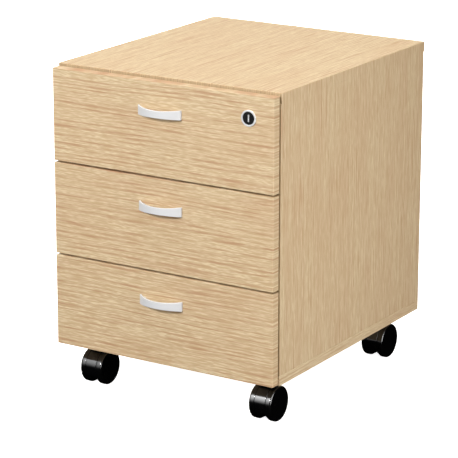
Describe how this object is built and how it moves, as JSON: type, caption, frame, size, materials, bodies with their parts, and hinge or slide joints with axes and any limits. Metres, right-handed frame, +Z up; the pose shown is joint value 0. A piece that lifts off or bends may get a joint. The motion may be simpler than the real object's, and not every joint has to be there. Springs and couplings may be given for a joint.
{
  "type": "rolling pedestal cabinet",
  "caption": "Rolling pedestal cabinet: light oak case on twin-wheel casters, stacked drawers with bowed metal handles on telescopic runners, and a front lock that blocks them all.",
  "frame": {"origin": "on the floor, at the middle of the outer box", "axes": "+X to the right seen from the front, +Y from the drawer fronts to the back, +Z up"},
  "size_m": [0.4, 0.4816, 0.523],
  "materials": {
    "light_oak_board": "light oak melamine on chipboard, matt, with matching edge banding",
    "hardboard": "thin hardboard, light oak foil outside",
    "white_board": "white melamine on chipboard",
    "white_hardboard": "white lacquered hardboard",
    "satin_nickel": "satin nickel plated zinc casting",
    "zinc_steel": "bright zinc plated pressed steel",
    "black_hood_plastic": "glossy black moulded polyamide",
    "black_wheel_plastic": "black moulded polyamide",
    "black_lock_metal": "black coated zinc casting",
    "black_guide_plastic": "black moulded plastic"
  },
  "bodies": {
    "case": {"side_panel_left": "light_oak_board", "side_panel_right": "light_oak_board", "top_panel": "light_oak_board", "bottom_panel": "light_oak_board", "back_panel": "hardboard", "lock_bar_guide": "black_guide_plastic", "case_runner_1_left": "zinc_steel", "case_runner_1_right": "zinc_steel", "case_runner_2_left": "zinc_steel", "case_runner_2_right": "zinc_steel", "case_runner_3_left": "zinc_steel", "case_runner_3_right": "zinc_steel", "caster_front_left_plate": "zinc_steel", "caster_front_right_plate": "zinc_steel", "caster_rear_left_plate": "zinc_steel", "caster_rear_right_plate": "zinc_steel"},
    "drawer_1": {"drawer_1_front": "light_oak_board", "drawer_1_handle": "satin_nickel", "drawer_1_side_left": "white_board", "drawer_1_side_right": "white_board", "drawer_1_back": "white_board", "drawer_1_bottom": "white_hardboard", "drawer_1_runner_left": "zinc_steel", "drawer_1_runner_right": "zinc_steel", "lock_housing": "satin_nickel"},
    "drawer_2": {"drawer_2_front": "light_oak_board", "drawer_2_handle": "satin_nickel", "drawer_2_side_left": "white_board", "drawer_2_side_right": "white_board", "drawer_2_back": "white_board", "drawer_2_bottom": "white_hardboard", "drawer_2_runner_left": "zinc_steel", "drawer_2_runner_right": "zinc_steel"},
    "drawer_3": {"drawer_3_front": "light_oak_board", "drawer_3_handle": "satin_nickel", "drawer_3_side_left": "white_board", "drawer_3_side_right": "white_board", "drawer_3_back": "white_board", "drawer_3_bottom": "white_hardboard", "drawer_3_runner_left": "zinc_steel", "drawer_3_runner_right": "zinc_steel"},
    "lock": {"lock_plug": "black_lock_metal", "lock_driver": "zinc_steel"},
    "lock_bar": {"lock_bar": "zinc_steel"},
    "caster_front_left": {"caster_front_left_hood": "black_hood_plastic", "caster_front_left_axle": "zinc_steel"},
    "caster_front_left_wheel_left": {"caster_front_left_wheel_left": "black_wheel_plastic"},
    "caster_front_left_wheel_right": {"caster_front_left_wheel_right": "black_wheel_plastic"},
    "caster_front_right": {"caster_front_right_hood": "black_hood_plastic", "caster_front_right_axle": "zinc_steel"},
    "caster_front_right_wheel_left": {"caster_front_right_wheel_left": "black_wheel_plastic"},
    "caster_front_right_wheel_right": {"caster_front_right_wheel_right": "black_wheel_plastic"},
    "caster_rear_left": {"caster_rear_left_hood": "black_hood_plastic", "caster_rear_left_axle": "zinc_steel"},
    "caster_rear_left_wheel_left": {"caster_rear_left_wheel_left": "black_wheel_plastic"},
    "caster_rear_left_wheel_right": {"caster_rear_left_wheel_right": "black_wheel_plastic"},
    "caster_rear_right": {"caster_rear_right_hood": "black_hood_plastic", "caster_rear_right_axle": "zinc_steel"},
    "caster_rear_right_wheel_left": {"caster_rear_right_wheel_left": "black_wheel_plastic"},
    "caster_rear_right_wheel_right": {"caster_rear_right_wheel_right": "black_wheel_plastic"}
  },
  "joints": [
    {"name": "drawer_1_slide", "type": "slide", "parent": "case", "child": "drawer_1", "axis": [0, -1, 0], "range_m": [0, 0.3]},
    {"name": "drawer_2_slide", "type": "slide", "parent": "case", "child": "drawer_2", "axis": [0, -1, 0], "range_m": [0, 0.3]},
    {"name": "drawer_3_slide", "type": "slide", "parent": "case", "child": "drawer_3", "axis": [0, -1, 0], "range_m": [0, 0.3]},
    {"name": "lock_turn", "type": "hinge", "parent": "drawer_1", "child": "lock", "pos_m": [0.1553, -0.22275, 0.484], "axis": [0, -1, 0], "range_deg": [0, 90]},
    {"name": "lock_bar_lift", "type": "slide", "parent": "case", "child": "lock_bar", "axis": [0, 0, 1], "range_m": [0, 0.00848]},
    {"name": "caster_front_left_swivel", "type": "hinge", "parent": "case", "child": "caster_front_left", "pos_m": [-0.157, -0.15375, 0.06], "axis": [0, 0, 1], "continuous": true},
    {"name": "caster_front_left_wheel_left_spin", "type": "hinge", "parent": "caster_front_left", "child": "caster_front_left_wheel_left", "pos_m": [-0.157, -0.16575, 0.028], "axis": [1, 0, 0], "continuous": true},
    {"name": "caster_front_left_wheel_right_spin", "type": "hinge", "parent": "caster_front_left", "child": "caster_front_left_wheel_right", "pos_m": [-0.157, -0.16575, 0.028], "axis": [1, 0, 0], "continuous": true},
    {"name": "caster_front_right_swivel", "type": "hinge", "parent": "case", "child": "caster_front_right", "pos_m": [0.157, -0.15375, 0.06], "axis": [0, 0, 1], "continuous": true},
    {"name": "caster_front_right_wheel_left_spin", "type": "hinge", "parent": "caster_front_right", "child": "caster_front_right_wheel_left", "pos_m": [0.157, -0.16575, 0.028], "axis": [1, 0, 0], "continuous": true},
    {"name": "caster_front_right_wheel_right_spin", "type": "hinge", "parent": "caster_front_right", "child": "caster_front_right_wheel_right", "pos_m": [0.157, -0.16575, 0.028], "axis": [1, 0, 0], "continuous": true},
    {"name": "caster_rear_left_swivel", "type": "hinge", "parent": "case", "child": "caster_rear_left", "pos_m": [-0.157, 0.19925, 0.06], "axis": [0, 0, 1], "continuous": true},
    {"name": "caster_rear_left_wheel_left_spin", "type": "hinge", "parent": "caster_rear_left", "child": "caster_rear_left_wheel_left", "pos_m": [-0.157, 0.18725, 0.028], "axis": [1, 0, 0], "continuous": true},
    {"name": "caster_rear_left_wheel_right_spin", "type": "hinge", "parent": "caster_rear_left", "child": "caster_rear_left_wheel_right", "pos_m": [-0.157, 0.18725, 0.028], "axis": [1, 0, 0], "continuous": true},
    {"name": "caster_rear_right_swivel", "type": "hinge", "parent": "case", "child": "caster_rear_right", "pos_m": [0.157, 0.19925, 0.06], "axis": [0, 0, 1], "continuous": true},
    {"name": "caster_rear_right_wheel_left_spin", "type": "hinge", "parent": "caster_rear_right", "child": "caster_rear_right_wheel_left", "pos_m": [0.157, 0.18725, 0.028], "axis": [1, 0, 0], "continuous": true},
    {"name": "caster_rear_right_wheel_right_spin", "type": "hinge", "parent": "caster_rear_right", "child": "caster_rear_right_wheel_right", "pos_m": [0.157, 0.18725, 0.028], "axis": [1, 0, 0], "continuous": true}
  ],
  "couplings": [
    {"joint": "lock_turn", "follows": "lock_bar_lift", "rad_per_m": 185.12}
  ]
}
